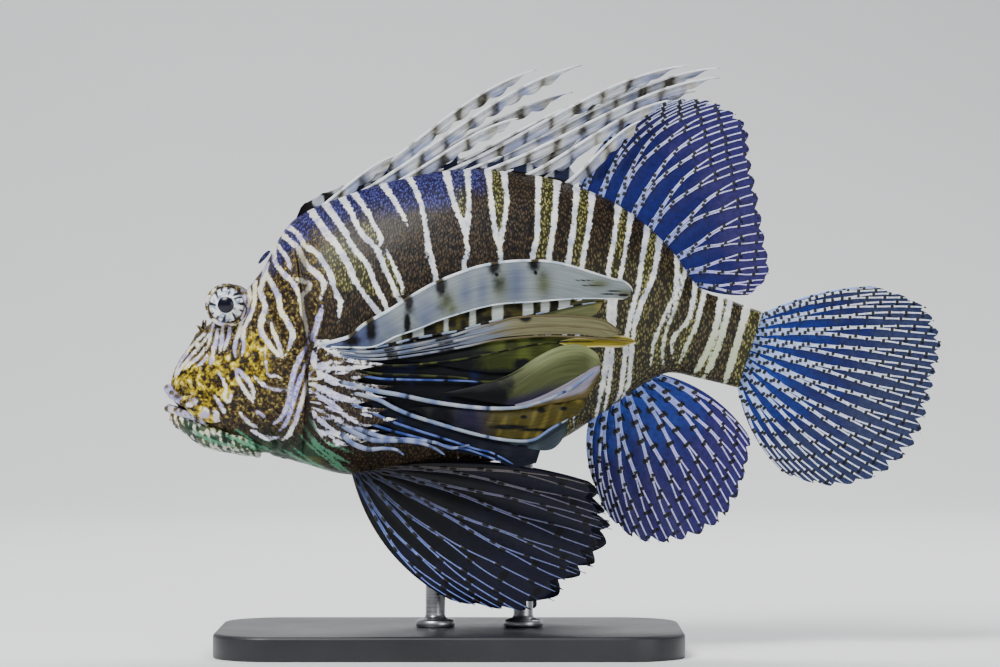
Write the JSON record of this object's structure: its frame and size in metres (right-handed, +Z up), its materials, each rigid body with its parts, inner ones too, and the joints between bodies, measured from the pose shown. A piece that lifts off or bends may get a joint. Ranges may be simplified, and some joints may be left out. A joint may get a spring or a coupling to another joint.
{
  "type": "red lionfish",
  "caption": "Still life-size lionfish with fanned spines, spread fins and banded skin, held over a flat base by two short rods.",
  "frame": {"origin": "centre of the stand base's underside", "axes": "+Z up, the fish faces -X with its tail towards +X, and its left side is towards -Y"},
  "size_m": [0.3214, 0.104, 0.24],
  "materials": {
    "skin": "banded dark brown and white skin, lightly glossy",
    "fin": "dark blue-violet membrane with pale spotted rays",
    "spine": "pale banded rays and vanes",
    "eye": "wet gloss",
    "stand_base": "satin charcoal",
    "stand_rod": "brushed"
  },
  "bodies": {
    "root": {"head": "skin", "jaw": "skin", "trunk": "skin", "tail_stalk": "skin", "eye_left": "eye", "eye_right": "eye", "fin_dorsal_spines": "spine", "fin_dorsal_soft": "fin", "fin_tail": "fin", "fin_anal": "fin", "fin_pelvic_left": "fin", "fin_pelvic_right": "fin", "fin_pectoral_left": "spine", "fin_pectoral_right": "spine", "stand_base": "stand_base", "stand_rod_front": "stand_rod", "stand_rod_rear": "stand_rod"}
  },
  "joints": []
}
